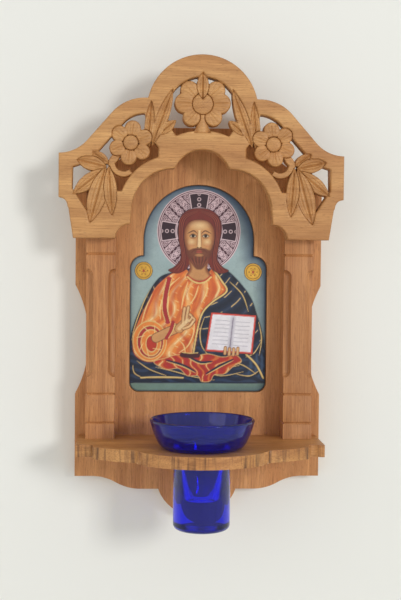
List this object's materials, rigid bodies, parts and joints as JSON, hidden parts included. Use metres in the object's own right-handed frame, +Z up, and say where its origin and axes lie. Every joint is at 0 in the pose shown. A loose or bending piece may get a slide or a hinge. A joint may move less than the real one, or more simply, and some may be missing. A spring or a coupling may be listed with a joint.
{
  "type": "carved icon shrine",
  "caption": "Wall-hung wooden shrine with an openwork carved pediment, fluted posts, a recessed painted icon panel and a scalloped shelf that holds a glass oil lamp.",
  "frame": {"origin": "on the backboard's wall face, on the centre line, level with the top of the shelf", "axes": "+X to the right of someone facing the shrine, +Y back into the wall, +Z up"},
  "size_m": [0.2604, 0.143, 0.4317],
  "materials": {
    "board_wood": "oiled alder, planed",
    "post_wood": "oiled alder, planed and fluted",
    "shelf_wood": "oiled alder, band-sawn and sanded edge",
    "pediment_wood": "oiled alder, fretted and carved",
    "carved_wood": "oiled alder, knife-carved",
    "painted_panel": "gessoed board with satin paint and gilding",
    "cobalt_glass": "pressed cobalt glass",
    "plate_brass": "stamped brass",
    "screw_steel": "zinc-plated steel"
  },
  "bodies": {
    "shrine": {"backboard": "board_wood", "icon_panel": "painted_panel", "left_post": "post_wood", "right_post": "post_wood", "shelf": "shelf_wood", "pediment_board": "pediment_wood", "center_petals": "carved_wood", "center_heart": "carved_wood", "center_top_petal": "carved_wood", "center_stem": "carved_wood", "left_petals": "carved_wood", "left_heart": "carved_wood", "right_petals": "carved_wood", "right_heart": "carved_wood", "left_leaf_1": "carved_wood", "left_leaf_2": "carved_wood", "left_leaf_3": "carved_wood", "left_leaf_4": "carved_wood", "left_leaf_5": "carved_wood", "right_leaf_1": "carved_wood", "right_leaf_2": "carved_wood", "right_leaf_3": "carved_wood", "right_leaf_4": "carved_wood", "right_leaf_5": "carved_wood", "left_tendril": "carved_wood", "right_tendril": "carved_wood", "left_sprig": "carved_wood", "right_sprig": "carved_wood", "hanging_plate": "plate_brass", "plate_screws": "screw_steel", "post_screws": "screw_steel", "shelf_screws": "screw_steel"},
    "lamp": {"lamp_glass": "cobalt_glass"}
  },
  "joints": [
    {"name": "lamp_lift", "type": "slide", "parent": "shrine", "child": "lamp", "axis": [0, 0, 1], "range_m": [0, 0.08]}
  ]
}
